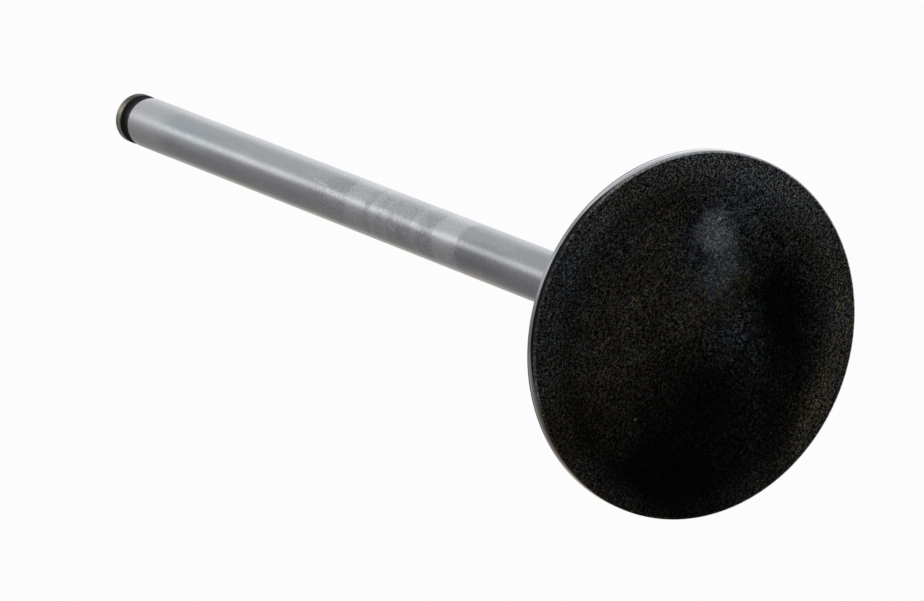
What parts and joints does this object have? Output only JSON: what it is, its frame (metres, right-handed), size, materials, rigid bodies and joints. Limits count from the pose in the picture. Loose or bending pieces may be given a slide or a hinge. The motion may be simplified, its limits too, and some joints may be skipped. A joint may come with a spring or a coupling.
{
  "type": "engine valve",
  "caption": "Poppet valve for a piston engine: dished head, ground margin and conical seat, swept neck, plain round stem, keeper groove and chamfered tip.",
  "frame": {"origin": "Centre of the flat ring of the head, on the surface that the valve stands on.", "axes": "+Z along the stem, from the head up to the tip. The valve is round about +Z, so +X and +Y are any two square directions."},
  "size_m": [0.037, 0.037, 0.1183],
  "materials": {
    "valve_steel": "Satin ground stem, bright ground margin and seat, black oxide on the combustion face, the edge of the head, the underhead and the keeper groove."
  },
  "bodies": {
    "root": {"engine_valve": "valve_steel"}
  },
  "joints": []
}
